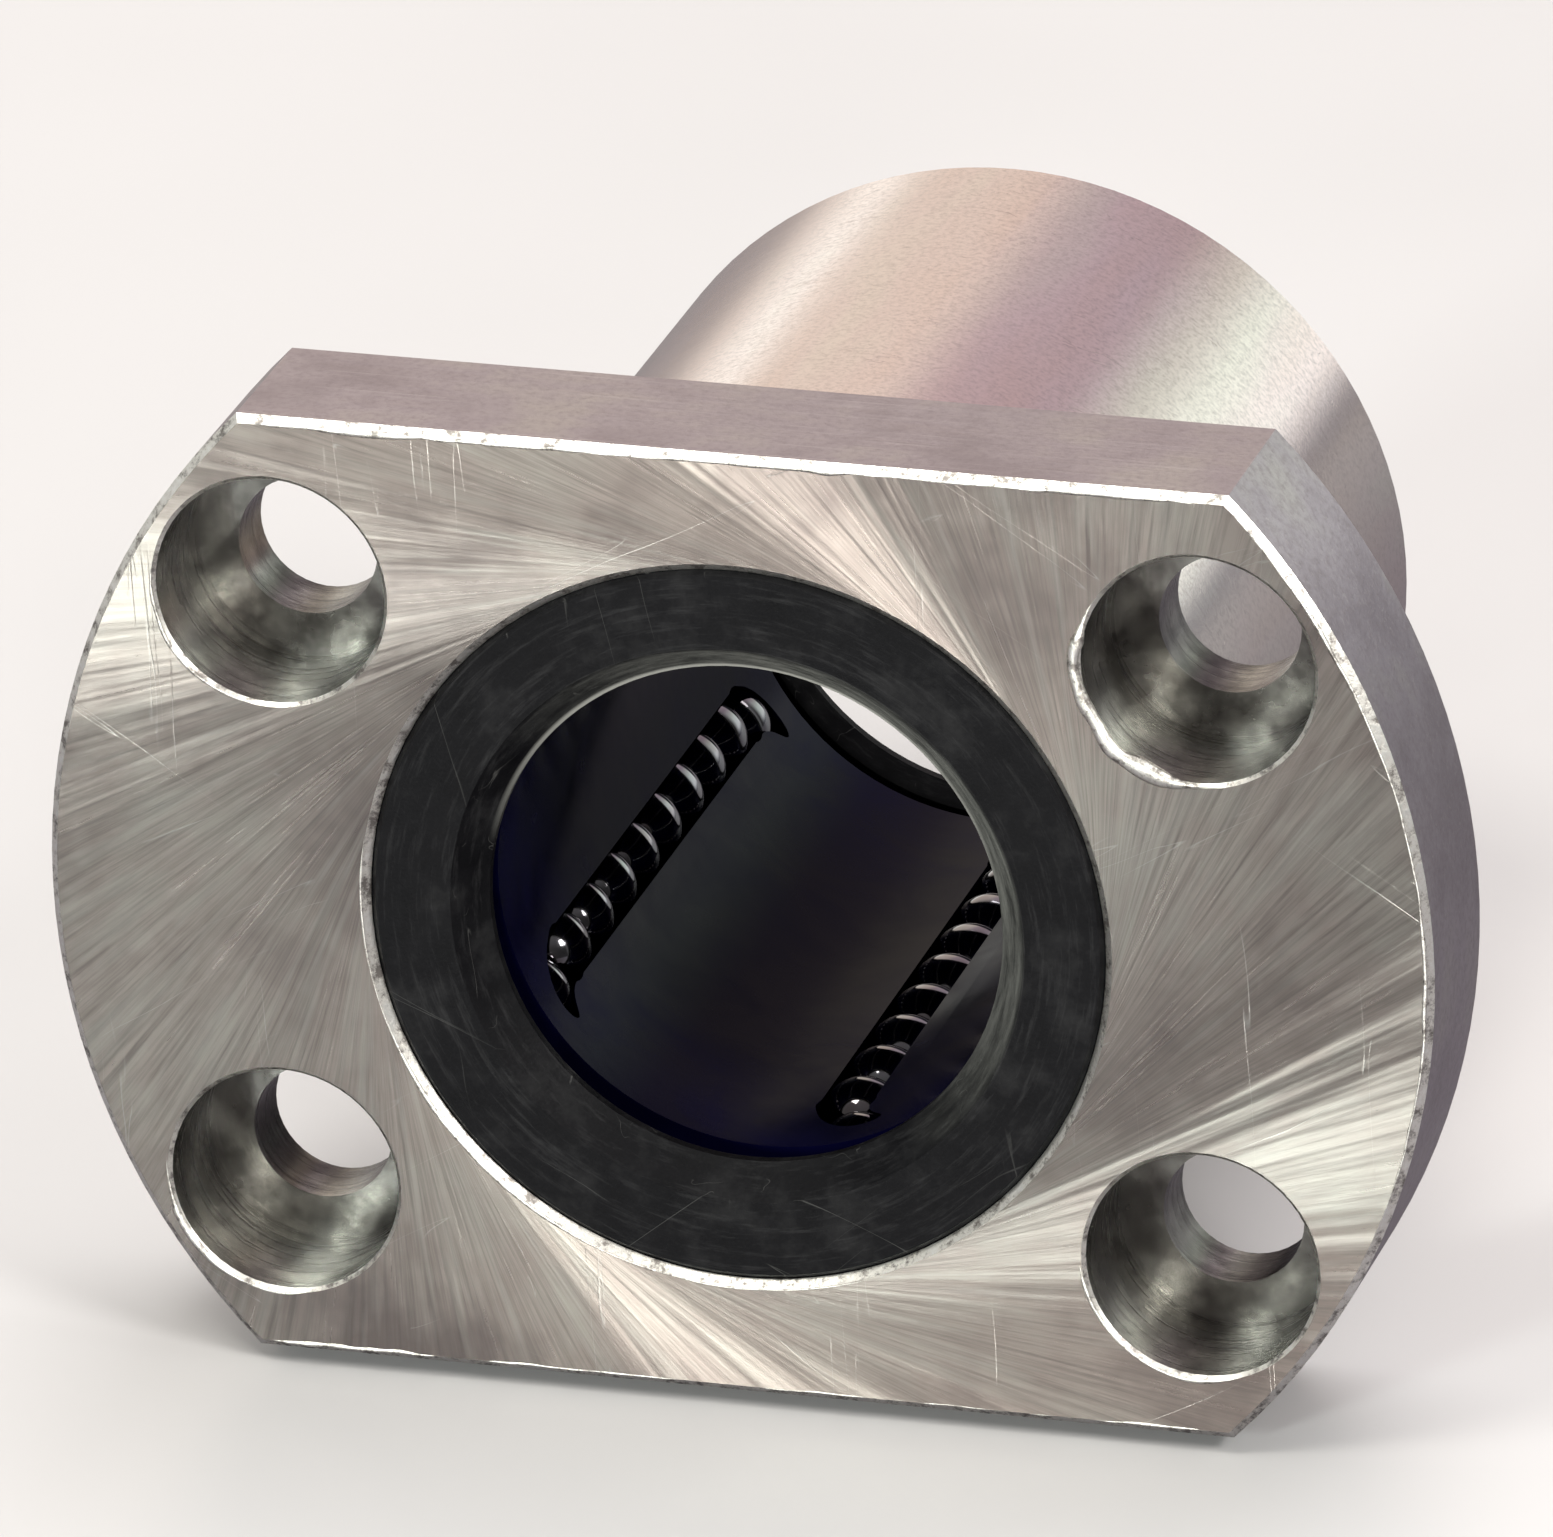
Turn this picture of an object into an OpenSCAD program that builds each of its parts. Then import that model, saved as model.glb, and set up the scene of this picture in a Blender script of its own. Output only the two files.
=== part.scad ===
// Flanged linear ball bushing: a turned steel sleeve with a flat-sided flange, a moulded
// ball retainer held by two snap rings, five recirculating ball circuits and two seals.
// The shaft axis lies along Y. The flange faces -Y and its flats face +Z and -Z.
// The origin is on the shaft axis, in the plane of the flange's back face.

/* [Shaft and barrel] */
// Diameter of the shaft that the bushing runs on
shaft_d = 20; // [19:0.5:20]
// Outer diameter of the barrel
barrel_d = 32; // [32:0.5:34]
// Overall length along the shaft
body_l = 42; // [42:1:48]

/* [Flange] */
// Diameter of the flange's two round sides
flange_d = 54; // [54:1:60]
// Distance between the flange's two flats
flange_flats = 38; // [36:1:44]
// Thickness of the flange
flange_t = 8; // [7:0.5:10]
// Distance between screw holes along the flats
hole_gap_wide = 36; // [35:0.5:36]
// Distance between screw holes across the flats
hole_gap_high = 24; // [22:0.5:24]
// Diameter of the screw clearance holes
screw_hole_d = 5.5; // [4.5:0.5:6]
// Diameter of the screw head recesses
head_recess_d = 9; // [8:0.25:9]
// Depth of the screw head recesses
head_recess_h = 5.1; // [4:0.1:5.5]

/* [Edges] */
// Chamfer around the flange's front edge
flange_front_chamfer = 0.3; // [0.1:0.05:0.5]
// Chamfer around the flange's back edge
flange_back_chamfer = 0.5; // [0.1:0.05:0.8]
// Chamfer at the barrel's rear edge
barrel_chamfer = 0.8; // [0.2:0.1:1]
// Chamfer at the mouth of each seal recess
recess_chamfer = 0.3; // [0.1:0.05:0.4]
// Chamfer at the mouth of each screw head recess
head_chamfer = 0.15; // [0.05:0.05:0.2]

/* [Ball circuits] */
// Diameter of one ball
ball_d = 3.175; // [3.1:0.005:3.175]
// Number of balls in one straight row
row_balls = 8; // [5:1:8]
// Angle of the first loaded row around the shaft
first_row_angle = -7; // [-36:1:36]

/* [Seals and snap rings] */
// Depth from the end face to the back of a seal
seal_depth = 2.6; // [2.4:0.05:2.6]
// Depth from the end face to the seal's own front face
seal_inset = 0.15; // [0.05:0.05:0.3]
// Radial gap between a seal's lip and the shaft
lip_gap = 0.03; // [0.03:0.01:0.05]
// Thickness of a snap ring
snap_ring_t = 1; // [0.8:0.05:1]
// Width of the gap in a snap ring
snap_ring_gap = 5; // [3:0.5:8]

/* [Hidden] */

$fn = 96;
over = 0.5;
circuit_count = 5;
circuit_step = 360 / circuit_count;

// Along the shaft: the front end is at flange_t, the rear end at -barrel_l
barrel_l = body_l - flange_t;
mid_z = flange_t - body_l / 2;

// Ball path: two straight rows joined by two half turns, which lean outwards
// so that the balls leave the shaft
shaft_r = shaft_d / 2;
ball_r = ball_d / 2;
ball_gap = 0.025;
pitch = ball_d + ball_gap;
row_l = row_balls * pitch;
turn_r = pitch / sqrt(2);
shaft_play = 0.02;
land_play = 0.0125;
load_r = shaft_r + shaft_play + ball_r;
return_r = load_r + 0.6;
turn_lean = 11;
row_split = acos((load_r ^ 2 + return_r ^ 2 - 4 * turn_r ^ 2) / (2 * load_r * return_r));

// Sleeve bore: narrow lands carry the loaded rows, the rest is relieved for the returning balls
return_play = 0.21;
land_r = load_r + ball_r + land_play;
relief_r = return_r + ball_r + return_play;
land_root = 0.3;
land_from = -7.5;
land_to = 4;
land_end_gap = 0.4;
land_l = row_l - 2 * land_end_gap;

// Retainer
cage_inset = 3.85;
cage_l = body_l - 2 * cage_inset;
cage_in_r = shaft_r + 0.4;
cage_gap = 0.1;
cage_out_r = land_r - cage_gap;
cage_key_r = relief_r - cage_gap;
cage_key_root = 0.3;
track_play = 0.1;
track_r = ball_r + track_play;
track_slot_w = 2 * track_r - 0.15;
turn_widening = 0.03;
joint_widening = 0.06;
key_from = row_split + 9.5;
key_to = circuit_step + land_from - 0.7;

// Seal recess, snap ring groove and the parts in them
recess_r = 14.35;
recess_l = cage_inset - 0.05;
ring_play = 0.05;
groove_r = recess_r + 0.5;
groove_from = seal_depth + ring_play;
groove_l = snap_ring_t + 2 * ring_play;
ring_back_z = -groove_from - groove_l + ring_play;
ring_w = 2.4;
ring_out_r = groove_r - ring_play;
ring_in_r = ring_out_r - ring_w;
fit_gap = 0.02;
seal_r = recess_r - fit_gap;
seal_edge = 0.2;
lip_r = shaft_r + lip_gap;
bevel_r = shaft_r + 1.2;
lip_depth = 1.5;
lip_w = 0.4;
lip_thick = 0.3;
lip_foot_w = 0.7;
insert_in_r = shaft_r + 1.25;
insert_out_r = seal_r - 0.75;
insert_t = 0.9;

// Angle of a circuit's loaded row
function row_angle(i) = first_row_angle + (i - 1) * circuit_step;

// A point at a radius and an angle around the shaft
function polar(r, angle) = [r * cos(angle), r * sin(angle)];

// Middle of the chord between a circuit's loaded row and its return row
function chord_mid(i) = (polar(load_r, row_angle(i)) + polar(return_r, row_angle(i) + row_split)) / 2;

// Direction of that chord
function chord_angle(i) =
    let (d = polar(return_r, row_angle(i) + row_split) - polar(load_r, row_angle(i)))
    atan2(d[1], d[0]);

// Turns a piece built along Z, with its front up, into the object's own frame
module lay_down() {
    rotate([90, 0, 0]) children();
}

// Places a piece built down from z = 0 at the front end or at the rear end
module at_front() {
    translate([0, 0, flange_t]) children();
}

module at_rear() {
    translate([0, 0, -barrel_l]) rotate([180, 0, 0]) children();
}

// Local frame of a ball circuit: X points outwards, Y to the return row, Z along the shaft
module in_circuit(i) {
    middle = chord_mid(i);
    translate([middle[0], middle[1], mid_z]) rotate(chord_angle(i) - 90) children();
}

// Part of a ring between two angles
module ring_sector(r_in, r_out, angle_from, angle_to, length) {
    rotate(angle_from)
        rotate_extrude(angle = angle_to - angle_from)
            translate([r_in, -length / 2])
                square([r_out - r_in, length]);
}

// Flange outline: a disc with two flats, chamfered on both faces
module flange_blank() {
    intersection() {
        rotate_extrude()
            polygon([
                [0, 0],
                [flange_d / 2 - flange_back_chamfer, 0],
                [flange_d / 2, flange_back_chamfer],
                [flange_d / 2, flange_t - flange_front_chamfer],
                [flange_d / 2 - flange_front_chamfer, flange_t],
                [0, flange_t]
            ]);
        rotate([90, 0, 90])
            linear_extrude(height = flange_d + 2, center = true)
                polygon([
                    [-flange_flats / 2 + flange_back_chamfer, -over],
                    [-flange_flats / 2 + flange_back_chamfer, 0],
                    [-flange_flats / 2, flange_back_chamfer],
                    [-flange_flats / 2, flange_t - flange_front_chamfer],
                    [-flange_flats / 2 + flange_front_chamfer, flange_t],
                    [-flange_flats / 2 + flange_front_chamfer, flange_t + over],
                    [flange_flats / 2 - flange_front_chamfer, flange_t + over],
                    [flange_flats / 2 - flange_front_chamfer, flange_t],
                    [flange_flats / 2, flange_t - flange_front_chamfer],
                    [flange_flats / 2, flange_back_chamfer],
                    [flange_flats / 2 - flange_back_chamfer, 0],
                    [flange_flats / 2 - flange_back_chamfer, -over]
                ]);
    }
}

module barrel_blank() {
    translate([0, 0, -barrel_l])
        cylinder(d1 = barrel_d - 2 * barrel_chamfer, d2 = barrel_d, h = barrel_chamfer);
    translate([0, 0, -barrel_l + barrel_chamfer])
        cylinder(d = barrel_d, h = barrel_l - barrel_chamfer + flange_t / 2);
}

// Screw clearance hole with a recess for the screw's head
module screw_hole() {
    translate([0, 0, -over])
        cylinder(d = screw_hole_d, h = flange_t + 2 * over);
    translate([0, 0, flange_t - head_recess_h])
        cylinder(d = head_recess_d, h = head_recess_h + over);
    translate([0, 0, flange_t - head_chamfer])
        cylinder(d1 = head_recess_d, d2 = head_recess_d + 2 * (head_chamfer + over), h = head_chamfer + over);
}

// Everything cut from one end of the bore: chamfered mouth, seal recess, snap ring groove
module end_cut() {
    translate([0, 0, -recess_l])
        cylinder(r = recess_r, h = recess_l + over);
    translate([0, 0, -groove_from - groove_l])
        cylinder(r = groove_r, h = groove_l);
    translate([0, 0, -recess_chamfer])
        cylinder(r1 = recess_r, r2 = recess_r + recess_chamfer + over, h = recess_chamfer + over);
}

module flanged_sleeve() {
    color([0.72, 0.70, 0.69])
        lay_down() {
            difference() {
                union() {
                    flange_blank();
                    barrel_blank();
                }
                translate([0, 0, -barrel_l - over])
                    cylinder(r = relief_r, h = body_l + 2 * over);
                at_front() end_cut();
                at_rear() end_cut();
                for (x = [-1, 1], y = [-1, 1])
                    translate([x * hole_gap_wide / 2, y * hole_gap_high / 2, 0]) screw_hole();
            }
            for (i = [1:circuit_count])
                translate([0, 0, mid_z])
                    ring_sector(
                        land_r, relief_r + land_root,
                        row_angle(i) + land_from, row_angle(i) + land_to, land_l
                    );
        }
}

// Closed ball track: a round channel, open outwards so that the balls can be laid in.
// The half turns are a little wider than the straights, and so are the joints between them.
module ball_track() {
    for (side = [-1, 1])
        translate([0, side * turn_r, 0]) {
            cylinder(r = track_r, h = row_l, center = true);
            translate([0, -track_slot_w / 2, -row_l / 2])
                cube([2 * ball_d, track_slot_w, row_l]);
            for (end = [-1, 1])
                translate([0, 0, end * row_l / 2])
                    sphere(r = track_r + joint_widening);
        }
    for (end = [0, 180])
        rotate([end, 0, 0])
            translate([0, 0, row_l / 2])
                rotate([0, turn_lean, 0])
                    rotate([90, 0, 90]) {
                        rotate_extrude(angle = 180)
                            translate([turn_r, 0])
                                circle(r = track_r + turn_widening);
                        rotate_extrude(angle = 180)
                            translate([turn_r - track_slot_w / 2 - turn_widening, 0])
                                square([track_slot_w + 2 * turn_widening, 2 * ball_d]);
                    }
}

module ball_retainer() {
    color([0.05, 0.05, 0.06])
        lay_down()
            difference() {
                translate([0, 0, mid_z]) {
                    difference() {
                        cylinder(r = cage_out_r, h = cage_l, center = true);
                        cylinder(r = cage_in_r, h = cage_l + 2 * over, center = true);
                    }
                    for (i = [1:circuit_count])
                        ring_sector(
                            cage_out_r - cage_key_root, cage_key_r,
                            row_angle(i) + key_from, row_angle(i) + key_to, cage_l
                        );
                }
                for (i = [1:circuit_count])
                    in_circuit(i) ball_track();
            }
}

// Seal built down from its end face: flat face, bevel, thin lip, and a pocket for its insert
module seal() {
    rotate_extrude()
        polygon([
            [seal_r, -seal_inset - seal_edge],
            [seal_r - seal_edge, -seal_inset],
            [bevel_r, -seal_inset],
            [lip_r + lip_thick, -lip_depth + lip_thick],
            [lip_r, -lip_depth],
            [lip_r, -lip_depth - lip_w],
            [lip_r + lip_thick, -lip_depth - lip_w - lip_thick],
            [lip_r + lip_foot_w, -seal_depth],
            [insert_in_r - fit_gap, -seal_depth],
            [insert_in_r - fit_gap, -seal_depth + insert_t + fit_gap],
            [insert_out_r + fit_gap, -seal_depth + insert_t + fit_gap],
            [insert_out_r + fit_gap, -seal_depth],
            [seal_r, -seal_depth]
        ]);
}

module seal_insert() {
    rotate_extrude()
        translate([insert_in_r, -seal_depth])
            square([insert_out_r - insert_in_r, insert_t]);
}

module snap_ring() {
    difference() {
        rotate_extrude()
            translate([ring_in_r, ring_back_z])
                square([ring_out_r - ring_in_r, snap_ring_t]);
        translate([-snap_ring_gap / 2, 0, -groove_from - groove_l - over])
            cube([snap_ring_gap, groove_r + over, groove_l + 2 * over]);
    }
}

module front_seal() {
    color([0.10, 0.10, 0.11])
        lay_down() at_front() seal();
}

module rear_seal() {
    color([0.10, 0.10, 0.11])
        lay_down() at_rear() seal();
}

module front_seal_insert() {
    color([0.60, 0.60, 0.62])
        lay_down() at_front() seal_insert();
}

module rear_seal_insert() {
    color([0.60, 0.60, 0.62])
        lay_down() at_rear() seal_insert();
}

module front_snap_ring() {
    color([0.35, 0.36, 0.38])
        lay_down() at_front() snap_ring();
}

module rear_snap_ring() {
    color([0.35, 0.36, 0.38])
        lay_down() at_rear() snap_ring();
}

// One straight row of balls, on the loaded side (-1) or the return side (1)
module ball_row(i, side) {
    lay_down()
        in_circuit(i)
            for (n = [0:row_balls - 1])
                translate([0, side * turn_r, (n + 0.5) * pitch - row_l / 2])
                    sphere(r = ball_r);
}

// The two balls in a half turn, at the front end (1) or the rear end (-1)
module ball_turn(i, end) {
    lay_down()
        in_circuit(i)
            for (angle = [45, 135])
                translate([
                    turn_r * sin(angle) * sin(turn_lean),
                    turn_r * cos(angle),
                    end * (row_l / 2 + turn_r * sin(angle) * cos(turn_lean))
                ])
                    sphere(r = ball_r);
}

module load_balls(i) {
    color([0.86, 0.87, 0.90]) ball_row(i, -1);
}

module return_balls(i) {
    color([0.86, 0.87, 0.90]) ball_row(i, 1);
}

module front_turn_balls(i) {
    color([0.86, 0.87, 0.90]) ball_turn(i, 1);
}

module rear_turn_balls(i) {
    color([0.86, 0.87, 0.90]) ball_turn(i, -1);
}

flanged_sleeve();
ball_retainer();
front_seal();
rear_seal();
front_seal_insert();
rear_seal_insert();
front_snap_ring();
rear_snap_ring();
load_balls(1);  // load_balls_1
load_balls(2);  // load_balls_2
load_balls(3);  // load_balls_3
load_balls(4);  // load_balls_4
load_balls(5);  // load_balls_5
return_balls(1);  // return_balls_1
return_balls(2);  // return_balls_2
return_balls(3);  // return_balls_3
return_balls(4);  // return_balls_4
return_balls(5);  // return_balls_5
front_turn_balls(1);  // front_turn_balls_1
front_turn_balls(2);  // front_turn_balls_2
front_turn_balls(3);  // front_turn_balls_3
front_turn_balls(4);  // front_turn_balls_4
front_turn_balls(5);  // front_turn_balls_5
rear_turn_balls(1);  // rear_turn_balls_1
rear_turn_balls(2);  // rear_turn_balls_2
rear_turn_balls(3);  // rear_turn_balls_3
rear_turn_balls(4);  // rear_turn_balls_4
rear_turn_balls(5);  // rear_turn_balls_5
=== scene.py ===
import math
import random

import bmesh
import bpy
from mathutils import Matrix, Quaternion, Vector


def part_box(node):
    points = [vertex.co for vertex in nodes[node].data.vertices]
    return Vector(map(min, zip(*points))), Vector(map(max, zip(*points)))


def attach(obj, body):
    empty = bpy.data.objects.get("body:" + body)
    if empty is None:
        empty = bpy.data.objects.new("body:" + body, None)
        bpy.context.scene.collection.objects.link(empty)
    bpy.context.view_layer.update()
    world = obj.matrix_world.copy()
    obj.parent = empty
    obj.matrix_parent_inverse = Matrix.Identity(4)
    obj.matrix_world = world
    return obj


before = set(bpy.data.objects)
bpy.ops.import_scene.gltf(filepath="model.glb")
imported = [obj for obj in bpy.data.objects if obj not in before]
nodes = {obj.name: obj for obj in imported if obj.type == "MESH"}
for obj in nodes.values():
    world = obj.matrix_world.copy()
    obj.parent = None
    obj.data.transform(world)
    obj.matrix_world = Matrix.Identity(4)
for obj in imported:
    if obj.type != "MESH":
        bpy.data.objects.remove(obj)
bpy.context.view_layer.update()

MM = 0.001

# Sizes of the sleeve, read from the frame
SLEEVE_LOW, SLEEVE_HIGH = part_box("flanged_sleeve")
FRONT_Y = SLEEVE_LOW.y
FLAT_Z = SLEEVE_HIGH.z
FLANGE_R = SLEEVE_HIGH.x
REAR_Y = SLEEVE_HIGH.y
CORNER_X = math.sqrt(FLANGE_R ** 2 - FLAT_Z ** 2)

# Sizes that the sleeve's box doesn't give
BARREL_R = 16 * MM
HOLE_X, HOLE_Z = 18 * MM, 12 * MM
HOLES = [(side * HOLE_X, level * HOLE_Z) for side in (-1, 1) for level in (-1, 1)]
HEAD_R = 4.5 * MM
CHAMFER = 0.3 * MM
RECESS_MOUTH_R = 14.68 * MM

# Every wall inside this radius belongs to the bore
BORE_ZONE_R = 15 * MM

# The grinding marks on the face leave this circle as tangents
SWEEP_R = 14.2 * MM

# Distances from the shaft axis, in the materials' millimetres, over which the painted highlights on a seal's
# bevel and lip fade in
BEVEL_HIGHLIGHT_FADE = (11.25, 11.0)
LIP_HIGHLIGHT_FADE = (10.24, 10.12)

# How square to the shaft axis a face is: above FACING it looks along the axis, below SLOPED it is a chamfer
FACING = 0.99
SLOPED = 0.9

# Sockets of a Mix node that mixes colours
MIX_A, MIX_B, MIX_RESULT = 6, 7, 2


# ---------------------------------------------------------------- node helpers

class Nodes:
    """Builds one node tree: each call adds a node, joins its inputs and returns its output."""

    def __init__(self, tree):
        self.tree = tree

    def add(self, kind, **values):
        node = self.tree.nodes.new(kind)
        for key, value in values.items():
            setattr(node, key, value)
        return node

    def link(self, source, target):
        self.tree.links.new(source, target)

    def put(self, socket, value):
        if isinstance(value, bpy.types.NodeSocket):
            self.link(value, socket)
        else:
            socket.default_value = value

    def math(self, operation, a, b=0.0):
        node = self.add("ShaderNodeMath", operation=operation)
        self.put(node.inputs[0], a)
        self.put(node.inputs[1], b)
        return node.outputs[0]

    def noise(self, vector, scale, detail=3.0, rough=0.55, distort=0.0):
        node = self.add("ShaderNodeTexNoise")
        self.put(node.inputs["Vector"], vector)
        node.inputs["Scale"].default_value = scale
        node.inputs["Detail"].default_value = detail
        node.inputs["Roughness"].default_value = rough
        node.inputs["Distortion"].default_value = distort
        return node.outputs["Fac"]

    def ramp(self, value, stops):
        node = self.add("ShaderNodeValToRGB")
        self.put(node.inputs["Fac"], value)
        elements = node.color_ramp.elements
        while len(elements) < len(stops):
            elements.new(0.5)
        for element, (at, color) in zip(elements, stops):
            element.position = at
            element.color = (*color, 1)
        return node.outputs["Color"]

    def levels(self, value, low, high, out_low=0.0, out_high=1.0):
        node = self.add("ShaderNodeMapRange")
        self.put(node.inputs["Value"], value)
        node.inputs["From Min"].default_value = low
        node.inputs["From Max"].default_value = high
        node.inputs["To Min"].default_value = out_low
        node.inputs["To Max"].default_value = out_high
        return node.outputs["Result"]

    def mix(self, factor, a, b):
        node = self.add("ShaderNodeMix", data_type="RGBA")
        self.put(node.inputs["Factor"], factor)
        for index, color in ((MIX_A, a), (MIX_B, b)):
            self.put(node.inputs[index], color if isinstance(color, bpy.types.NodeSocket) else (*color, 1))
        return node.outputs[MIX_RESULT]

    def combine(self, x, y, z):
        node = self.add("ShaderNodeCombineXYZ")
        for socket, value in zip(node.inputs, (x, y, z)):
            self.put(socket, value)
        return node.outputs[0]

    def bump(self, height, strength, distance, normal=None):
        node = self.add("ShaderNodeBump")
        self.put(node.inputs["Height"], height)
        node.inputs["Strength"].default_value = strength
        node.inputs["Distance"].default_value = distance
        if normal is not None:
            self.link(normal, node.inputs["Normal"])
        return node.outputs["Normal"]


def new_material(name):
    """A material with an empty Principled surface, its Nodes helper and its position in millimetres."""
    material = bpy.data.materials.new(name)
    material.use_nodes = True
    tree = material.node_tree
    tree.nodes.clear()
    n = Nodes(tree)
    surface = n.add("ShaderNodeBsdfPrincipled")
    output = n.add("ShaderNodeOutputMaterial")
    n.link(surface.outputs[0], output.inputs["Surface"])
    coordinates = n.add("ShaderNodeTexCoord")
    scale = n.add("ShaderNodeVectorMath", operation="SCALE")
    n.link(coordinates.outputs["Object"], scale.inputs[0])
    scale.inputs["Scale"].default_value = 1 / MM
    return material, n, surface, scale.outputs[0]


def split(n, vector):
    node = n.add("ShaderNodeSeparateXYZ")
    n.link(vector, node.inputs[0])
    return node.outputs[0], node.outputs[1], node.outputs[2]


def around_axis(n, place):
    """Distance from the shaft axis, a unit direction around it, and the place along it."""
    x, y, z = split(n, place)
    r = n.math("SQRT", n.math("ADD", n.math("MULTIPLY", x, x), n.math("MULTIPLY", z, z)))
    return r, n.math("DIVIDE", x, r), n.math("DIVIDE", z, r), y


def swept_marks(n, place):
    """Grinding marks that leave the seal recess as tangents: where a mark starts, and how far along it."""
    r, cx, cz, _ = around_axis(n, place)
    cosine = n.math("MINIMUM", n.math("DIVIDE", SWEEP_R / MM, r), 1.0)
    sine = n.math("SQRT", n.math("SUBTRACT", 1.0, n.math("MULTIPLY", cosine, cosine)))
    start_x = n.math("ADD", n.math("MULTIPLY", cosine, cx), n.math("MULTIPLY", sine, cz))
    start_z = n.math("SUBTRACT", n.math("MULTIPLY", cosine, cz), n.math("MULTIPLY", sine, cx))
    return start_x, start_z, n.math("MULTIPLY", sine, r)


def lathe_tangent(n):
    """Direction of the turning marks, round the shaft axis."""
    return n.add("ShaderNodeTangent", direction_type="RADIAL", axis="Y").outputs[0]


def scratches(n, place, scale, width, seed):
    """Thin, broken, nearly straight scratches in several directions, as a 0 to 1 mask."""
    total = None
    for index in range(3):
        turn = n.add("ShaderNodeMapping")
        n.link(place, turn.inputs["Vector"])
        turn.inputs["Rotation"].default_value = (0, 0.6 + 1.1 * index + seed, 0)
        stretch = n.add("ShaderNodeMapping")
        n.link(turn.outputs[0], stretch.inputs["Vector"])
        stretch.inputs["Scale"].default_value = (scale, scale, scale * 0.06)
        stretch.inputs["Location"].default_value = (seed * 3.1 + index * 7.7, 0, index * 5.3)
        lines = n.noise(stretch.outputs[0], 1.0, 1.0, 0.4, 0.25)
        line = n.levels(n.math("ABSOLUTE", n.math("SUBTRACT", lines, 0.5)), 0.0, width, 1.0, 0.0)
        gate = n.levels(n.noise(stretch.outputs[0], 0.37 + 0.09 * index, 2.0), 0.63, 0.68)
        line = n.math("MULTIPLY", line, gate)
        total = line if total is None else n.math("MAXIMUM", total, line)
    return total


# ---------------------------------------------------------------- materials

def ground_face():
    """Flange face: grinding marks that fan out from the seal recess, faint stains, small nicks."""
    material, n, surface, place = new_material("ground_face")
    mark_x, mark_z, along = swept_marks(n, place)

    def marks(count, stretch, detail):
        scales = ((mark_x, count), (along, stretch), (mark_z, count))
        at = n.combine(*(n.math("MULTIPLY", value, scale) for value, scale in scales))
        return n.noise(at, 1.0, detail, 0.7)

    fine = marks(95.0, 0.16, 5.0)
    broad = marks(11.0, 0.07, 3.0)
    stain = n.noise(place, 0.10, 4.0, 0.6)
    color = n.ramp(stain, [
        (0.34, (0.205, 0.173, 0.160)),
        (0.5, (0.345, 0.302, 0.272)),
        (0.68, (0.385, 0.362, 0.322)),
    ])
    color = n.mix(n.levels(fine, 0.42, 0.66, 0.0, 0.55), color, (0.15, 0.135, 0.126))
    color = n.mix(n.levels(broad, 0.50, 0.68, 0.0, 0.35), color, (0.50, 0.49, 0.44))
    nicks = scratches(n, place, 1.5, 0.007, 0.4)
    color = n.mix(n.math("MULTIPLY", nicks, 0.25), color, (0.8, 0.79, 0.75))
    n.link(color, surface.inputs["Base Color"])
    surface.inputs["Metallic"].default_value = 1
    n.link(n.levels(n.math("ADD", fine, broad), 0.7, 1.3, 0.26, 0.36), surface.inputs["Roughness"])
    surface.inputs["Anisotropic"].default_value = 1.0
    # The highlight spreads along the tangent, so the tangent lies across the marks and sways a little
    sway = n.add("ShaderNodeVectorMath", operation="MULTIPLY_ADD")
    jitter = n.levels(marks(34.0, 0.05, 2.0), 0.0, 1.0, -0.35, 0.35)
    n.link(n.combine(n.math("MULTIPLY", mark_z, -1.0), 0.0, mark_x), sway.inputs[0])
    n.link(n.combine(jitter, jitter, jitter), sway.inputs[1])
    n.link(n.combine(mark_x, 0.0, mark_z), sway.inputs[2])
    n.link(sway.outputs[0], surface.inputs["Tangent"])
    normal = n.bump(fine, 0.40, 0.02 * MM)
    normal = n.bump(n.math("MULTIPLY", nicks, -1.0), 0.2, 0.02 * MM, normal)
    n.link(normal, surface.inputs["Normal"])
    return material


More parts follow.
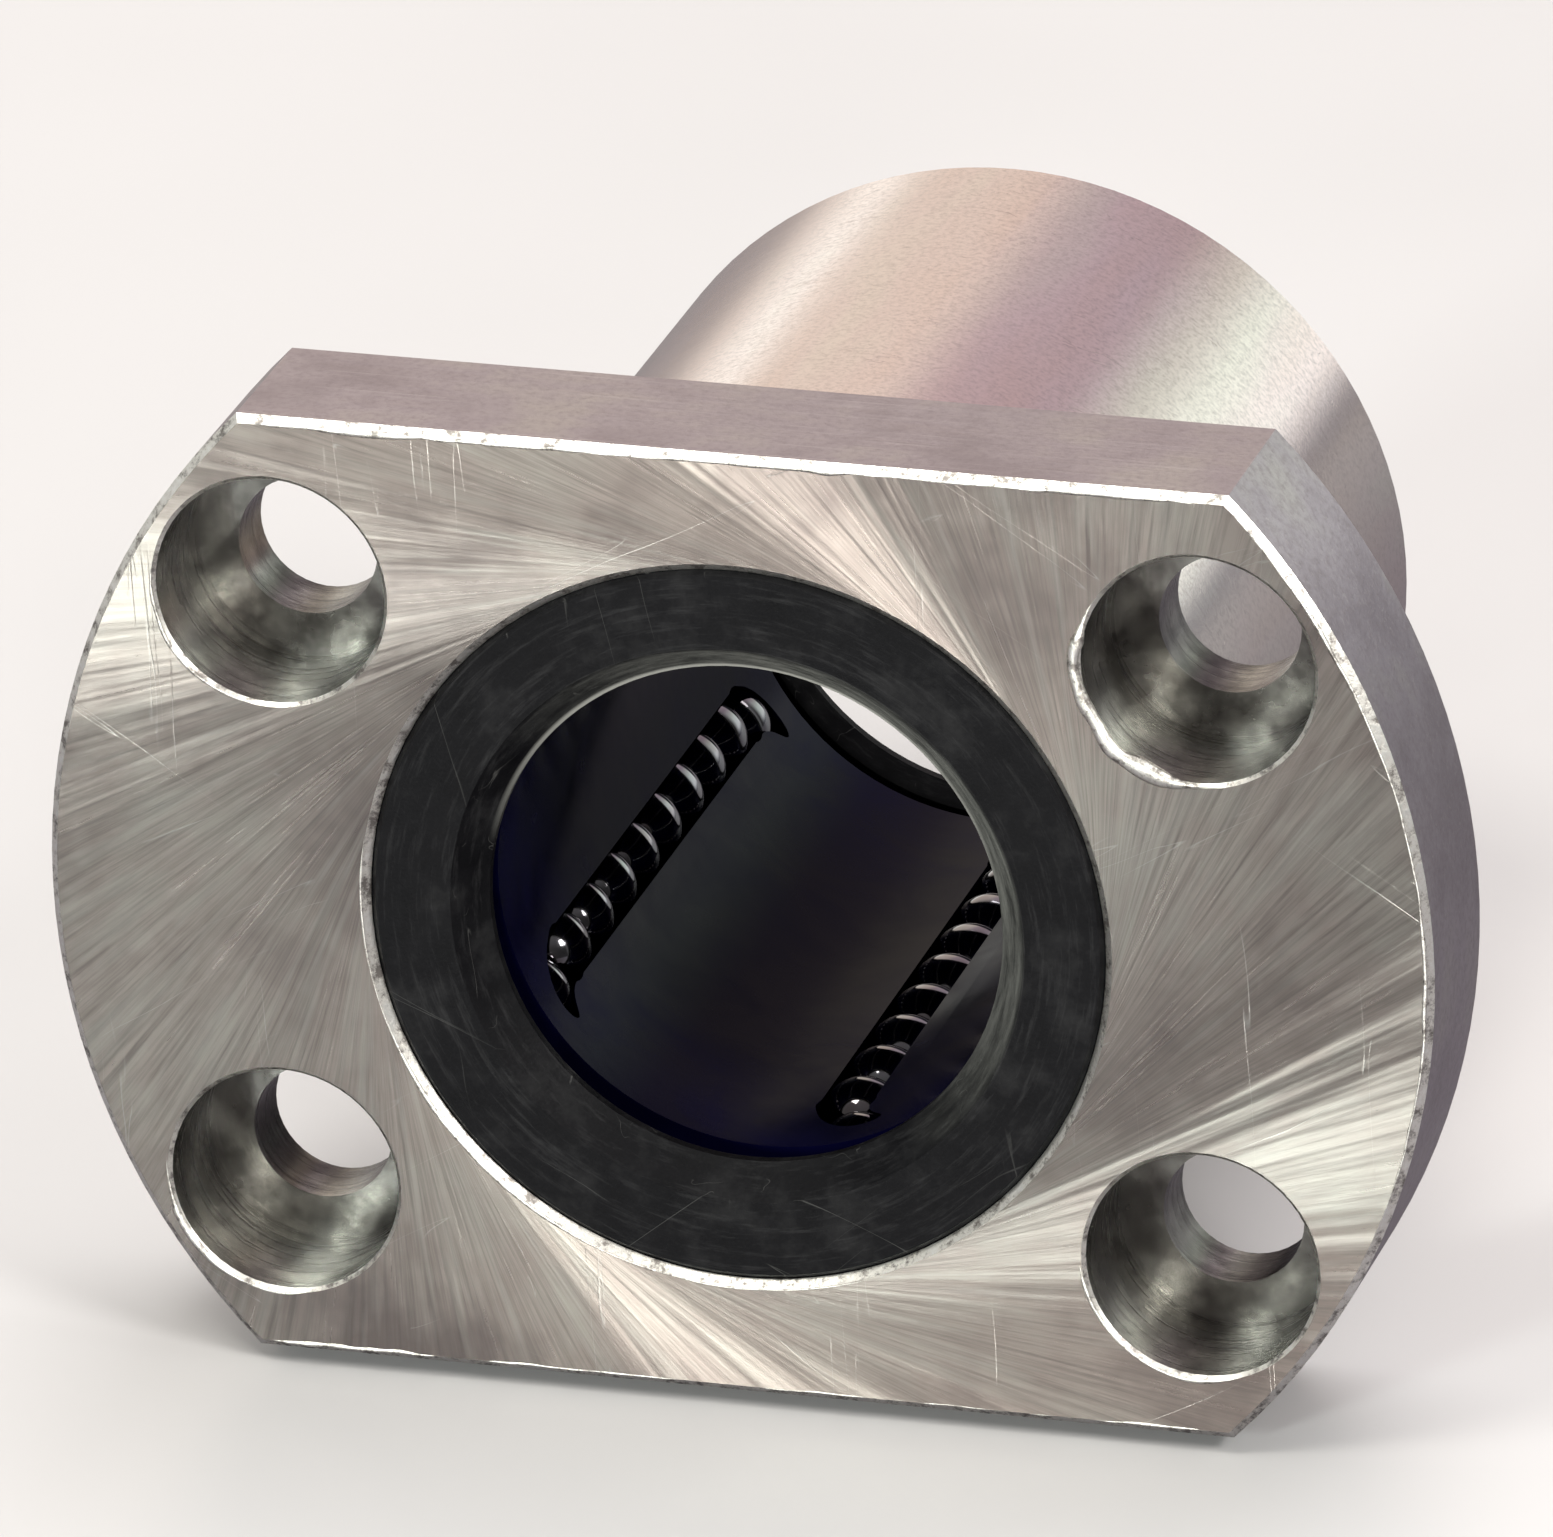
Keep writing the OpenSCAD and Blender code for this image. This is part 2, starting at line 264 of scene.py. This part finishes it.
def ground_barrel():
    """Barrel: fine circumferential grinding, a speckled grain and soft bands of tint."""
    material, n, surface, place = new_material("ground_barrel")
    _, cx, cz, y = around_axis(n, place)
    grind_at = n.combine(n.math("MULTIPLY", y, 9.0), n.math("MULTIPLY", cx, 2.0), n.math("MULTIPLY", cz, 2.0))
    grind = n.noise(grind_at, 1.0, 4.0, 0.7)
    tint_at = n.combine(n.math("MULTIPLY", y, 0.03), n.math("MULTIPLY", cx, 3.0), n.math("MULTIPLY", cz, 3.0))
    tint = n.noise(tint_at, 1.0, 3.0, 0.5)
    speckle = n.noise(place, 4.5, 3.0, 0.7)
    color = n.ramp(tint, [
        (0.3, (0.60, 0.49, 0.44)),
        (0.5, (0.62, 0.54, 0.52)),
        (0.7, (0.62, 0.60, 0.54)),
    ])
    color = n.mix(n.levels(speckle, 0.45, 0.72, 0.0, 0.45), color, (0.33, 0.29, 0.28))
    n.link(color, surface.inputs["Base Color"])
    surface.inputs["Metallic"].default_value = 1
    n.link(n.levels(n.math("ADD", grind, speckle), 0.7, 1.3, 0.12, 0.23), surface.inputs["Roughness"])
    surface.inputs["Anisotropic"].default_value = 0.5
    surface.inputs["Anisotropic Rotation"].default_value = 0.25
    n.link(lathe_tangent(n), surface.inputs["Tangent"])
    marks = scratches(n, place, 1.3, 0.010, 1.1)
    normal = n.bump(grind, 0.10, 0.01 * MM)
    normal = n.bump(speckle, 0.18, 0.02 * MM, normal)
    normal = n.bump(n.math("MULTIPLY", marks, -1.0), 0.3, 0.01 * MM, normal)
    n.link(normal, surface.inputs["Normal"])
    return material


def milled_flat():
    """Flange flats and rim: matte, faintly lilac, with milling lines along X and a coarse grain."""
    material, n, surface, place = new_material("milled_flat")
    x, y, z = split(n, place)
    lines_at = n.combine(n.math("MULTIPLY", x, 0.10), n.math("MULTIPLY", y, 5.0), n.math("MULTIPLY", z, 5.0))
    lines = n.noise(lines_at, 1.0, 4.0, 0.65)
    grain = n.noise(place, 3.2, 4.0, 0.65)
    stain = n.noise(place, 0.20, 3.0, 0.6)
    color = n.ramp(stain, [
        (0.34, (0.280, 0.245, 0.265)),
        (0.5, (0.345, 0.308, 0.332)),
        (0.68, (0.385, 0.356, 0.352)),
    ])
    color = n.mix(n.levels(grain, 0.46, 0.68, 0.0, 0.5), color, (0.24, 0.205, 0.21))
    color = n.mix(n.levels(lines, 0.56, 0.70, 0.0, 0.4), color, (0.52, 0.48, 0.47))
    n.link(color, surface.inputs["Base Color"])
    surface.inputs["Metallic"].default_value = 1
    n.link(n.levels(n.math("ADD", lines, grain), 0.6, 1.4, 0.28, 0.45), surface.inputs["Roughness"])
    normal = n.bump(lines, 0.35, 0.02 * MM)
    normal = n.bump(grain, 0.35, 0.03 * MM, normal)
    n.link(normal, surface.inputs["Normal"])
    return material


def bored_wall():
    """Walls of the screw holes, the seal recesses and the bore: rings left by the tool and stains, on colours
    kept darker than the face's as painted shade for the recesses.
    """
    material, n, surface, place = new_material("bored_wall")
    x, y, z = split(n, place)
    marks_at = n.combine(n.math("MULTIPLY", x, 0.18), n.math("MULTIPLY", y, 4.5), n.math("MULTIPLY", z, 0.18))
    marks = n.noise(marks_at, 1.0, 5.0, 0.75)
    stain = n.noise(place, 0.45, 3.0, 0.6)
    # Painted shade in part: these colours are darker than the face's, for the shade in the recesses, and the
    # stain noise varies them
    color = n.ramp(stain, [
        (0.34, (0.070, 0.064, 0.060)),
        (0.5, (0.160, 0.154, 0.140)),
        (0.7, (0.34, 0.335, 0.305)),
    ])
    color = n.mix(n.levels(marks, 0.46, 0.66, 0.0, 0.6), color, (0.03, 0.028, 0.026))
    n.link(color, surface.inputs["Base Color"])
    surface.inputs["Metallic"].default_value = 1
    n.link(n.levels(marks, 0.3, 0.7, 0.17, 0.32), surface.inputs["Roughness"])
    n.link(n.bump(marks, 0.6, 0.05 * MM), surface.inputs["Normal"])
    return material


def bright_edge():
    """Deburred edges: ragged and uneven, and bright partly as bare metal and partly as a painted highlight.
    """
    material, n, surface, place = new_material("bright_edge")
    chips = n.noise(place, 1.5, 5.0, 0.75)
    # Painted highlight in part: the near-white colours stand for the glint along the edges as well as for the
    # bare metal
    color = n.ramp(chips, [
        (0.38, (0.26, 0.24, 0.22)),
        (0.5, (0.86, 0.84, 0.77)),
        (0.66, (1.0, 1.0, 0.94)),
    ])
    n.link(color, surface.inputs["Base Color"])
    surface.inputs["Metallic"].default_value = 1
    n.link(n.levels(chips, 0.3, 0.7, 0.50, 0.30), surface.inputs["Roughness"])
    n.link(n.bump(chips, 0.6, 0.06 * MM), surface.inputs["Normal"])
    return material


def seal_rubber():
    """Seals: matte black moulded rubber with a fine grain and dry grey scuffs; a painted highlight lightens
    the bevel's upper right and the top of the lip.
    """
    material, n, surface, place = new_material("seal_rubber")
    r, cx, cz, _ = around_axis(n, place)
    grain = n.noise(place, 7.0, 3.0, 0.6)
    cloud = n.noise(place, 0.45, 4.0, 0.65)
    scuff = scratches(n, place, 1.6, 0.010, 3.7)
    rub_at = n.combine(n.math("MULTIPLY", r, 3.5), n.math("MULTIPLY", cx, 4.0), n.math("MULTIPLY", cz, 4.0))
    rub = n.noise(rub_at, 1.0, 5.0, 0.75)
    color = n.ramp(cloud, [
        (0.34, (0.0016, 0.0016, 0.0022)),
        (0.52, (0.0034, 0.0034, 0.0042)),
        (0.72, (0.0125, 0.0125, 0.0132)),
    ])
    color = n.mix(n.levels(rub, 0.52, 0.72, 0.0, 0.5), color, (0.030, 0.030, 0.031))
    color = n.mix(n.math("MULTIPLY", scuff, 0.45), color, (0.10, 0.10, 0.095))
    # Painted highlight: the bevel is lighter on its upper right, streaked by the rub noise
    highlight_side = n.levels(n.math("ADD", cx, cz), -0.2, 1.3)
    bevel_highlight = n.math("MULTIPLY", n.levels(r, *BEVEL_HIGHLIGHT_FADE), highlight_side)
    bevel_highlight = n.math("MULTIPLY", bevel_highlight, n.levels(rub, 0.36, 0.62, 0.25, 1.0))
    color = n.mix(bevel_highlight, color, (0.120, 0.122, 0.112))
    # Painted highlight: a light line along the top of the lip
    lip_highlight = n.math("MULTIPLY", n.levels(r, *LIP_HIGHLIGHT_FADE), n.levels(cz, 0.2, 0.9))
    color = n.mix(n.math("MULTIPLY", lip_highlight, 0.7), color, (0.40, 0.40, 0.37))
    n.link(color, surface.inputs["Base Color"])
    n.link(n.levels(n.math("ADD", grain, cloud), 0.7, 1.3, 0.46, 0.68), surface.inputs["Roughness"])
    surface.inputs["Specular IOR Level"].default_value = 0.12
    normal = n.bump(grain, 0.35, 0.03 * MM)
    normal = n.bump(n.math("MULTIPLY", scuff, -1.0), 0.3, 0.02 * MM, normal)
    n.link(normal, surface.inputs["Normal"])
    return material


def retainer_plastic():
    """Retainer: glossy near-black moulding with soft flow marks; the blue tint in its colour is a painted
    reflection.
    """
    material, n, surface, place = new_material("retainer_plastic")
    flow = n.noise(place, 0.22, 3.0, 0.6, 0.6)
    # Painted reflection: the blue tint in these near-black colours
    color = n.ramp(flow, [
        (0.35, (0.0010, 0.0010, 0.009)),
        (0.6, (0.0018, 0.0017, 0.018)),
        (0.8, (0.0034, 0.0032, 0.028)),
    ])
    n.link(color, surface.inputs["Base Color"])
    n.link(n.levels(flow, 0.3, 0.75, 0.16, 0.30), surface.inputs["Roughness"])
    surface.inputs["Specular IOR Level"].default_value = 0.02
    surface.inputs["Specular Tint"].default_value = (0.6, 0.62, 1.0, 1)
    n.link(n.bump(n.noise(place, 0.9, 2.0), 0.12, 0.05 * MM), surface.inputs["Normal"])
    return material


def ball_steel():
    """Balls: polished bearing steel, with a base colour kept dark as painted shade for the inside of the
    bore.
    """
    material, n, surface, place = new_material("ball_steel")
    tone_noise = n.noise(place, 0.8, 2.0, 0.5)
    # Painted shade: the base colour is kept dark to stand for the shade inside the bore
    color = n.ramp(tone_noise, [
        (0.35, (0.14, 0.125, 0.13)),
        (0.55, (0.20, 0.20, 0.215)),
        (0.75, (0.18, 0.19, 0.19)),
    ])
    n.link(color, surface.inputs["Base Color"])
    surface.inputs["Metallic"].default_value = 1
    n.link(n.levels(tone_noise, 0.3, 0.7, 0.06, 0.13), surface.inputs["Roughness"])
    surface.inputs["Coat Weight"].default_value = 0.3
    surface.inputs["Coat Roughness"].default_value = 0.05
    return material


def stamped_steel(name, light, dark):
    """Seal inserts and snap rings: stamped strip with rolling lines and stains."""
    material, n, surface, place = new_material(name)
    r, cx, cz, _ = around_axis(n, place)
    roll_at = n.combine(n.math("MULTIPLY", r, 4.0), n.math("MULTIPLY", cx, 2.5), n.math("MULTIPLY", cz, 2.5))
    roll = n.noise(roll_at, 1.0, 4.0, 0.7)
    stain = n.noise(place, 0.4, 3.0, 0.6)
    color = n.mix(n.levels(stain, 0.35, 0.7), dark, light)
    n.link(color, surface.inputs["Base Color"])
    surface.inputs["Metallic"].default_value = 1
    n.link(n.levels(roll, 0.3, 0.7, 0.30, 0.48), surface.inputs["Roughness"])
    n.link(n.bump(roll, 0.25, 0.02 * MM), surface.inputs["Normal"])
    return material


MATERIALS = {
    "face": ground_face(),
    "barrel": ground_barrel(),
    "flat": milled_flat(),
    "hole": bored_wall(),
    "edge": bright_edge(),
    "seal": seal_rubber(),
    "retainer": retainer_plastic(),
    "ball": ball_steel(),
    "insert": stamped_steel("insert_steel", (0.55, 0.54, 0.52), (0.34, 0.33, 0.32)),
    "ring": stamped_steel("ring_steel", (0.22, 0.22, 0.24), (0.10, 0.10, 0.11)),
}


# ---------------------------------------------------------------- CAD nodes

def sleeve_slot(center, normal):
    """Which finish a face of the sleeve has, from where it lies and which way it looks."""
    radius = math.hypot(center.x, center.z)
    along = abs(normal.y)
    across = math.hypot(normal.x, normal.z)
    plane_gap = 0.05 * MM
    if along > FACING and -plane_gap < center.y < REAR_Y - plane_gap:
        return "face" if radius > BORE_ZONE_R else "hole"
    from_hole = min(math.hypot(center.x - hole_x, center.z - hole_z) for hole_x, hole_z in HOLES)
    rim_outside, rim_inside = HEAD_R + 0.4 * MM, HEAD_R - 0.3 * MM
    if from_hole < rim_outside and along < FACING or from_hole < rim_inside:
        return "edge" if across < SLOPED and along < SLOPED else "hole"
    least_slope = 0.3
    if radius < BORE_ZONE_R:
        return "edge" if least_slope < across < SLOPED and along > least_slope else "hole"
    if along > FACING:
        return "face"
    barrel_margin = 0.2 * MM
    if center.y > barrel_margin and radius < BARREL_R + barrel_margin:
        return "barrel"
    return "edge" if across < SLOPED else "flat"


def finish_sleeve():
    sleeve = nodes["flanged_sleeve"]
    keys = ["face", "barrel", "flat", "hole", "edge"]
    sleeve.data.materials.clear()
    for key in keys:
        sleeve.data.materials.append(MATERIALS[key])
    for polygon in sleeve.data.polygons:
        polygon.material_index = keys.index(sleeve_slot(polygon.center, polygon.normal))


def finish_node(name, key):
    piece = nodes[name]
    piece.data.materials.clear()
    piece.data.materials.append(MATERIALS[key])


finish_sleeve()
for name in nodes:
    if "balls" in name:
        finish_node(name, "ball")
    elif "seal_insert" in name:
        finish_node(name, "insert")
    elif "snap_ring" in name:
        finish_node(name, "ring")
    elif "seal" in name:
        finish_node(name, "seal")
    elif name == "ball_retainer":
        finish_node(name, "retainer")


# ---------------------------------------------------------------- burrs left along machined edges

def wander(seed, count, smooth):
    """A smooth random run of numbers from 0 to 1, the same each time for one seed."""
    source = random.Random(seed)
    knots = [source.random() for _ in range(count // smooth + 3)]
    values = []
    for i in range(count):
        place, part = divmod(i / smooth, 1)
        part = part * part * (3 - 2 * part)
        values.append(knots[int(place)] * (1 - part) + knots[int(place) + 1] * part)
    return values


def bead(name, path, outwards, size, seed):
    """A thin ragged ridge of metal along a path, on the face side of an edge, tapered at both ends."""
    count = len(path)
    long_wave = wander(seed, count, 17)
    short_wave = wander(seed + 1, count, 4)
    shift = wander(seed + 2, count, 6)
    mesh = bmesh.new()
    rings = []
    sides = 7
    taper_steps = 8
    wide, high, stray = 1.5, 0.8, 0.8
    for i, (point, outward) in enumerate(zip(path, outwards)):
        taper = min(1.0, i / taper_steps, (count - 1 - i) / taper_steps) + 0.02
        body = size * (0.25 + 0.55 * long_wave[i] ** 2 + 0.45 * short_wave[i] * long_wave[i]) * taper
        middle = point + outward * (shift[i] - 0.5) * size * stray
        ring = []
        for k in range(sides):
            angle = 2 * math.pi * k / sides
            offset = outward * math.cos(angle) * body * wide + Vector((0, math.sin(angle) * body * high, 0))
            ring.append(mesh.verts.new(middle + offset))
        rings.append(ring)
    for ring, following in zip(rings, rings[1:]):
        for k in range(sides):
            mesh.faces.new((ring[k], ring[(k + 1) % sides], following[(k + 1) % sides], following[k]))
    mesh.faces.new(rings[0])
    mesh.faces.new(reversed(rings[-1]))
    bmesh.ops.recalc_face_normals(mesh, faces=mesh.faces)
    data = bpy.data.meshes.new(name)
    mesh.to_mesh(data)
    mesh.free()
    for polygon in data.polygons:
        polygon.use_smooth = True
    piece = bpy.data.objects.new(name, data)
    bpy.context.scene.collection.objects.link(piece)
    data.materials.append(MATERIALS["edge"])
    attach(piece, "housing")


def arc_bead(name, centre, radius, start, sweep, size, seed):
    """A ragged ridge round part of a circle on the flange face."""
    rings_per_mm = 5
    count = max(24, int(radius / MM * math.radians(sweep) * rings_per_mm))
    angles = [math.radians(start + sweep * i / (count - 1)) for i in range(count)]
    outwards = [Vector((math.cos(angle), 0, math.sin(angle))) for angle in angles]
    path = [Vector((centre[0], FRONT_Y, centre[1])) + outward * radius for outward in outwards]
    bead(name, path, outwards, size, seed)


def line_bead(name, z, half, size, seed):
    """A ragged ridge along a flat's front edge."""
    count = 260
    sunk = 0.02 * MM
    side = Vector((0, 0, math.copysign(1, z)))
    path = [Vector((-half + 2 * half * i / (count - 1), FRONT_Y + sunk, z)) for i in range(count)]
    bead(name, path, [side] * count, size, seed)


line_bead("burr_top_edge", FLAT_Z - CHAMFER, CORNER_X - CHAMFER, 0.11 * MM, 11)
line_bead("burr_bottom_edge", -FLAT_Z + CHAMFER, CORNER_X - CHAMFER, 0.07 * MM, 23)
arc_bead("burr_right_edge", (0, 0), FLANGE_R - CHAMFER, -20, 64, 0.10 * MM, 31)

# For each screw hole: where its burr starts and how far it runs, in degrees, and its size in millimetres
HOLE_BURRS = [(175, 110, 0.12), (165, 95, 0.11), (185, 105, 0.12), (150, 130, 0.30)]
HOLE_BURR_R = HEAD_R + 0.17 * MM
for index, (hole, (start, sweep, size)) in enumerate(zip(HOLES, HOLE_BURRS)):
    arc_bead(f"burr_hole_{index + 1}", hole, HOLE_BURR_R, start, sweep, size * MM, 40 + 7 * index)
arc_bead("burr_seal_recess", (0, 0), RECESS_MOUTH_R, 170, 120, 0.06 * MM, 71)


# ---------------------------------------------------------------- floor, light and camera

def pale_floor():
    """A pale floor, darker in reflections, tilted to lie just under the flange's back edge and the barrel."""
    floor_radius, floor_gap = 0.32, 0.02 * MM
    material, n, surface, place = new_material("pale_floor")
    shade = n.noise(place, 0.02, 2.0)
    pale = n.ramp(shade, [(0.3, (0.59, 0.585, 0.58)), (0.7, (0.62, 0.615, 0.61))])
    path = n.add("ShaderNodeLightPath")
    n.link(n.mix(path.outputs["Is Glossy Ray"], pale, (0.15, 0.14, 0.16)), surface.inputs["Base Color"])
    surface.inputs["Roughness"].default_value = 0.35
    bpy.ops.mesh.primitive_circle_add(vertices=128, radius=floor_radius, fill_type="NGON")
    floor = bpy.context.object
    floor.name = "studio_floor"
    slope = math.atan2(FLAT_Z - BARREL_R, REAR_Y)
    floor.rotation_euler = (slope, 0, 0)
    floor.location = (0, 0, -FLAT_Z - floor_gap)
    floor.data.materials.append(material)


def area_light(name, direction, distance, size, power, color):
    """A square soft box, in a direction from the middle of the flange and aimed back at it."""
    light = bpy.data.lights.new(name, "AREA")
    light.shape = "SQUARE"
    light.size = size
    light.energy = power
    light.color = color
    lamp = bpy.data.objects.new(name, light)
    bpy.context.scene.collection.objects.link(lamp)
    toward = Vector(direction).normalized()
    lamp.location = toward * distance
    lamp.rotation_mode = "QUATERNION"
    lamp.rotation_quaternion = toward.to_track_quat("Z", "Y")


def studio_world():
    """Plain and pale to the camera; the metal sees soft strips behind the object and a ring beside it."""
    world = bpy.data.worlds.new("studio")
    bpy.context.scene.world = world
    world.use_nodes = True
    n = Nodes(world.node_tree)
    world.node_tree.nodes.clear()
    background = n.add("ShaderNodeBackground")
    output = n.add("ShaderNodeOutputWorld")
    n.link(background.outputs[0], output.inputs["Surface"])
    coordinates = n.add("ShaderNodeTexCoord")
    x, y, z = split(n, coordinates.outputs["Generated"])

    # Angle around the shaft axis, in degrees clockwise from the top, and the light from there
    strips = [
        (-180, (0.9, 0.80, 0.75)), (-146, (2.2, 1.9, 1.7)), (-110, (2.9, 2.5, 2.2)), (-86, (3.1, 2.7, 2.4)),
        (-77, (5.0, 5.0, 4.7)), (-70, (5.0, 5.0, 4.7)), (-63, (3.6, 3.15, 2.75)), (-24, (3.9, 3.35, 2.95)),
        (-8, (2.6, 2.10, 2.25)), (22, (2.4, 2.00, 2.25)), (40, (3.6, 3.7, 3.4)), (52, (4.9, 5.3, 4.9)),
        (74, (5.6, 5.7, 5.6)), (88, (0.45, 0.45, 0.60)), (140, (0.16, 0.16, 0.22)), (180, (0.9, 0.80, 0.75)),
    ]
    turn = n.levels(n.math("ARCTAN2", x, z), -math.pi, math.pi)
    behind = n.ramp(turn, [((angle + 180) / 360, color) for angle, color in strips])

    # Dimmer light from the front, the sides and below, and a dark core in the middle of the strips
    front = n.mix(n.levels(x, -0.7, 0.7), (0.75, 0.73, 0.70), (0.22, 0.21, 0.21))
    around = n.mix(n.levels(z, 0.35, 0.95), front, (1.0, 0.94, 0.96))
    below = n.mix(n.levels(z, -0.25, 0.0), (0.45, 0.44, 0.43), around)
    behind = n.mix(n.levels(y, 0.92, 0.955), behind, (0.08, 0.08, 0.10))
    sky = n.mix(n.levels(y, 0.5, 0.72), below, behind)

    # The ring beside the object is for reflections only
    path = n.add("ShaderNodeLightPath")
    beside = n.math("MULTIPLY", n.levels(n.math("ABSOLUTE", y), 0.45, 0.30), path.outputs["Is Glossy Ray"])
    sky = n.mix(beside, sky, (1.9, 1.88, 1.86))
    seen = n.mix(path.outputs["Is Camera Ray"], sky, (2.55, 2.55, 2.57))
    n.link(seen, background.inputs["Color"])
    background.inputs["Strength"].default_value = 0.32


def photo_camera():
    """Looks at the flange from the front, the right and above, with a long lens."""
    camera = bpy.data.objects.new("camera", bpy.data.cameras.new("camera"))
    bpy.context.scene.collection.objects.link(camera)
    camera.data.sensor_width = 36
    camera.data.lens = 426
    azimuth, elevation = math.radians(15.74), math.radians(21.82)
    distance_mm = 698.2
    aim = Vector((-0.83, 1.07, 2.94)) * MM
    roll = Quaternion((0, 0, 1), math.radians(-0.9))
    level = math.cos(elevation)
    direction = Vector((math.sin(azimuth) * level, -math.cos(azimuth) * level, math.sin(elevation)))
    camera.location = direction * distance_mm * MM
    camera.rotation_mode = "QUATERNION"
    camera.rotation_quaternion = (aim - camera.location).to_track_quat("-Z", "Y") @ roll
    camera.data.clip_start = 0.05
    camera.data.clip_end = 5
    bpy.context.scene.camera = camera


# Soft boxes: name, direction, distance and width in metres, power in watts, colour
SOFT_BOXES = [
    ("front_panel", (0.165, -0.98, 0.06), 0.6, 0.11, 1.35, (1.0, 0.99, 0.94)),
    ("front_left", (-0.39, -0.90, 0.21), 0.6, 0.09, 1.7, (0.93, 1.0, 0.97)),
    ("front_fill", (-0.05, -0.96, 0.12), 0.6, 0.24, 0.6, (1.0, 0.97, 0.92)),
    ("edge_top", (-0.25, -0.37, 0.89), 0.6, 0.16, 1.2, (1.0, 0.98, 0.92)),
    ("edge_right", (0.69, -0.44, 0.57), 0.6, 0.16, 1.8, (1.0, 0.97, 0.95)),
    ("overhead", (0.10, 0.30, 1.0), 0.7, 0.5, 3.2, (1.0, 0.97, 0.98)),
]

bpy.context.scene.view_settings.view_transform = "Standard"
pale_floor()
studio_world()
for soft_box in SOFT_BOXES:
    area_light(*soft_box)
photo_camera()
